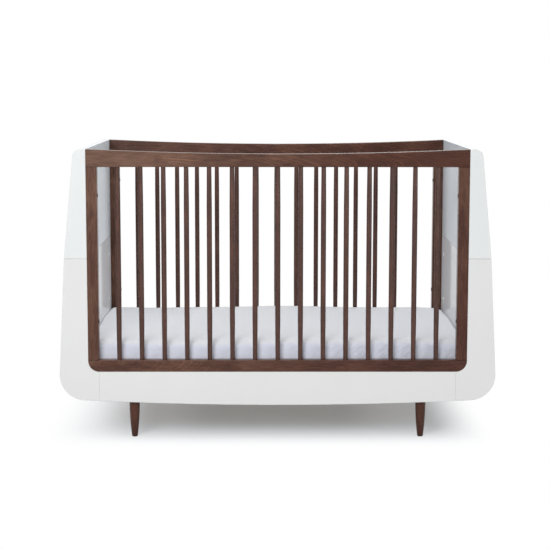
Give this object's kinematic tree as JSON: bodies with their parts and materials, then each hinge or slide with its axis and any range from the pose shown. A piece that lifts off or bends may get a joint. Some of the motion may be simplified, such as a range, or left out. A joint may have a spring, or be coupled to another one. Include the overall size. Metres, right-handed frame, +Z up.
{
  "type": "baby cot",
  "caption": "Baby cot with hollow white ends that lean in towards the top, dark spindle sides, tapered legs, a height-adjustable slatted base and a mattress.",
  "frame": {"origin": "on the floor, under the middle of the cot", "axes": "+X to the right end as seen from the front, -Y to the front, +Z up"},
  "size_m": [1.3708, 0.76, 0.914],
  "materials": {
    "white_lacquer": "satin",
    "dark_wood": "satin",
    "pine": "matte",
    "beech": "matte",
    "steel": "satin",
    "brass": "satin",
    "white_plastic": "satin",
    "dark_plastic": "matte",
    "sheet_fabric": "matte"
  },
  "bodies": {
    "root": {"left_end_upper_front_board": "white_lacquer", "left_end_upper_rear_board": "white_lacquer", "left_end_upper_inner_panel": "white_lacquer", "left_end_upper_outer_shell": "white_lacquer", "left_end_upper_seam_batten": "pine", "left_end_lower_front_board": "white_lacquer", "left_end_lower_rear_board": "white_lacquer", "left_end_lower_inner_panel": "white_lacquer", "left_end_lower_outer_shell": "white_lacquer", "left_end_lower_seam_batten": "pine", "right_end_upper_front_board": "white_lacquer", "right_end_upper_rear_board": "white_lacquer", "right_end_upper_inner_panel": "white_lacquer", "right_end_upper_outer_shell": "white_lacquer", "right_end_upper_seam_batten": "pine", "right_end_lower_front_board": "white_lacquer", "right_end_lower_rear_board": "white_lacquer", "right_end_lower_inner_panel": "white_lacquer", "right_end_lower_outer_shell": "white_lacquer", "right_end_lower_seam_batten": "pine", "front_lower_rail": "white_lacquer", "front_leg_rail": "pine", "front_top_rail": "dark_wood", "front_bottom_rail": "dark_wood", "front_left_post": "dark_wood", "front_right_post": "dark_wood", "front_spindles": "dark_wood", "front_left_leg": "dark_wood", "front_right_leg": "dark_wood", "rear_lower_rail": "white_lacquer", "rear_leg_rail": "pine", "rear_top_rail": "dark_wood", "rear_bottom_rail": "dark_wood", "rear_left_post": "dark_wood", "rear_right_post": "dark_wood", "rear_spindles": "dark_wood", "rear_left_leg": "dark_wood", "rear_right_leg": "dark_wood", "seam_dowels": "beech", "wood_dowels": "beech", "threaded_inserts": "brass", "leg_inserts": "brass", "side_bolts": "steel", "leg_rail_bolts": "steel", "leg_rail_screws": "steel", "leg_hanger_bolts": "steel", "support_bolts": "steel", "hole_caps": "white_plastic", "leg_glides": "dark_plastic"},
    "mattress_base": {"base_left_end_rail": "pine", "base_right_end_rail": "pine", "base_front_rail": "pine", "base_rear_rail": "pine", "base_centre_beam": "pine", "base_slats": "pine", "base_dowels": "beech", "hook_brackets": "steel", "bracket_screws": "steel"},
    "mattress": {"mattress": "sheet_fabric"}
  },
  "joints": [
    {"name": "base_height", "type": "slide", "parent": "root", "child": "mattress_base", "axis": [0, 0, 1], "range_m": [0, 0.32]},
    {"name": "mattress_lift", "type": "slide", "parent": "mattress_base", "child": "mattress", "axis": [0, 0, 1], "range_m": [0, 0.72]}
  ]
}
